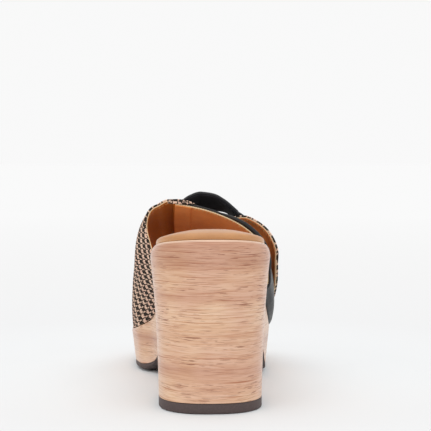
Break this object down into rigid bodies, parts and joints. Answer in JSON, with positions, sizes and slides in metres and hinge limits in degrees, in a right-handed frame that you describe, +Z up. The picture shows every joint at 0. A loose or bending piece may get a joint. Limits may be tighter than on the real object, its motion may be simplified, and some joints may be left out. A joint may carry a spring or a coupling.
{
  "type": "platform mule shoe",
  "caption": "Open-back, open-toe mule for a right foot: a woven band held by a leather loop strap on a wood-look platform sole with a tall block heel.",
  "frame": {"origin": "on the floor, under the centre of the shoe's bounding box", "axes": "+Y towards the toe, +X towards the lateral side, +Z up"},
  "size_m": [0.0918, 0.236, 0.115],
  "materials": {
    "wood_sole": "satin, streaked grain running across the heel",
    "heel_tip": "matt",
    "outsole": "matt",
    "insole": "satin",
    "fabric_upper": "coarse weave",
    "lateral_panel": "semi-gloss",
    "loop_strap": "semi-gloss"
  },
  "bodies": {
    "root": {"wood_sole": "wood_sole", "heel_tip": "heel_tip", "outsole": "outsole", "insole": "insole", "fabric_upper": "fabric_upper", "lateral_panel": "lateral_panel", "loop_strap": "loop_strap"}
  },
  "joints": []
}
